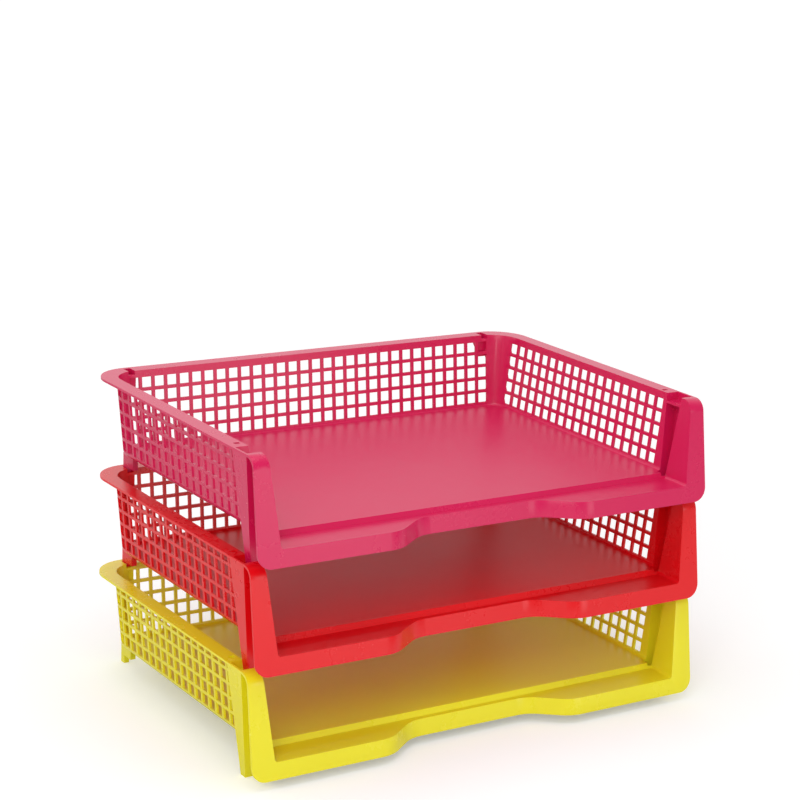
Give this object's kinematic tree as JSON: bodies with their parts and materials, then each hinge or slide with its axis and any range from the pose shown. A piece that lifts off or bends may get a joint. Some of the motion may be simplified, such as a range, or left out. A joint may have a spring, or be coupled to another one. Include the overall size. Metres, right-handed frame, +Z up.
{
  "type": "stack of document trays",
  "caption": "Stack of open-front landscape letter trays with square-hole grid walls, a flat rim, a front frame with a finger notch, and legs that seat in the tray below.",
  "frame": {"origin": "on the desk, under the middle of the stack", "axes": "+X across the trays, +Y from the open front to the back wall, +Z up"},
  "size_m": [0.361, 0.253, 0.2215],
  "materials": {
    "yellow_plastic": "satin moulded polypropylene",
    "red_plastic": "satin moulded polypropylene",
    "pink_plastic": "satin moulded polypropylene"
  },
  "bodies": {
    "bottom_tray": {"bottom_tray": "yellow_plastic"},
    "middle_tray": {"middle_tray": "red_plastic"},
    "top_tray": {"top_tray": "pink_plastic"}
  },
  "joints": [
    {"name": "middle_tray_lift", "type": "slide", "parent": "bottom_tray", "child": "middle_tray", "axis": [0, 0, 1], "range_m": [0, 0.1005]},
    {"name": "top_tray_lift", "type": "slide", "parent": "middle_tray", "child": "top_tray", "axis": [0, 0, 1], "range_m": [0, 0.1005]}
  ]
}
